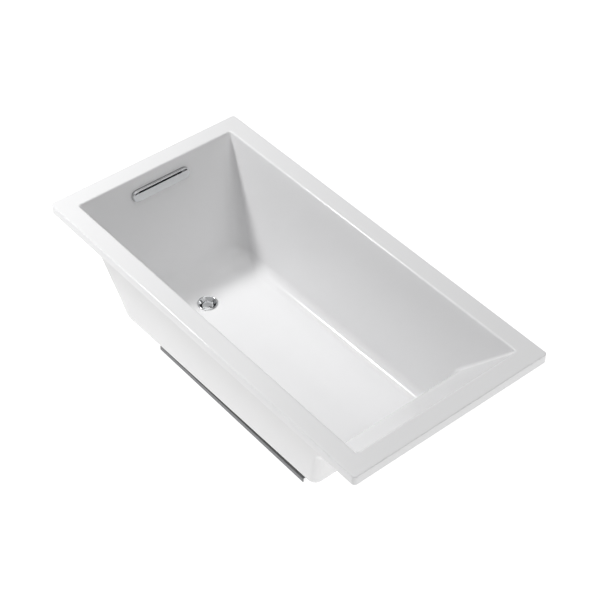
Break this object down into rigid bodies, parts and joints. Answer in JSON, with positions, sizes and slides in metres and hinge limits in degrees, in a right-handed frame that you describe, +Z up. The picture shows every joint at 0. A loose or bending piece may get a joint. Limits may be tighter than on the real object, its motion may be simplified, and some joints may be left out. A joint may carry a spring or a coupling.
{
  "type": "bathtub",
  "caption": "Rectangular drop-in bathtub with flat deck rim, sloping backrest, slotted wall overflow, toe-touch drain, tapered base board and steel base rails.",
  "frame": {"origin": "centre of the footprint at floor level, under the base rails", "axes": "+Z up; +X along the tub towards the sloping backrest, the drain and overflow are at the -X end; the -Y long side is the near side"},
  "size_m": [1.524, 0.762, 0.483],
  "materials": {
    "acrylic": "gloss white",
    "coated_board": "white resin coat",
    "plywood": "raw",
    "rail_steel": "dark satin coat",
    "zinc": "zinc plated",
    "chrome": "polished",
    "rubber": "matt",
    "pipe_plastic": "satin black",
    "brass": "machined"
  },
  "bodies": {
    "tub": {"bath_shell": "acrylic", "rim_batten_near": "plywood", "rim_batten_far": "plywood", "rim_batten_drain_end": "plywood", "rim_batten_back_end": "plywood", "base_board": "coated_board", "base_rail_near": "rail_steel", "base_rail_far": "rail_steel", "rail_screw_near_1": "zinc", "rail_screw_near_2": "zinc", "rail_screw_near_3": "zinc", "rail_screw_near_4": "zinc", "rail_screw_far_1": "zinc", "rail_screw_far_2": "zinc", "rail_screw_far_3": "zinc", "rail_screw_far_4": "zinc", "flange_gasket": "rubber", "drain_flange": "chrome", "toe_touch_cartridge": "brass", "waste_tee": "pipe_plastic", "overflow_pipe": "pipe_plastic", "tee_top_washer": "rubber", "tee_top_nut": "pipe_plastic", "tee_side_washer": "rubber", "waste_pipe": "pipe_plastic", "shoe_washer": "rubber", "drain_shoe": "pipe_plastic", "shoe_gasket": "rubber", "overflow_trim": "chrome", "overflow_front_gasket": "rubber", "overflow_rear_gasket": "rubber", "overflow_body": "pipe_plastic", "overflow_bracket": "zinc", "overflow_screw_far": "zinc", "overflow_screw_near": "zinc", "overflow_washer": "rubber", "overflow_nut": "pipe_plastic"},
    "stopper": {"stopper_cap": "chrome", "stopper_seal": "rubber", "stopper_stem": "brass"}
  },
  "joints": [
    {"name": "stopper_lift", "type": "slide", "parent": "tub", "child": "stopper", "axis": [0, 0, 1], "range_m": [0, 0.009]}
  ]
}
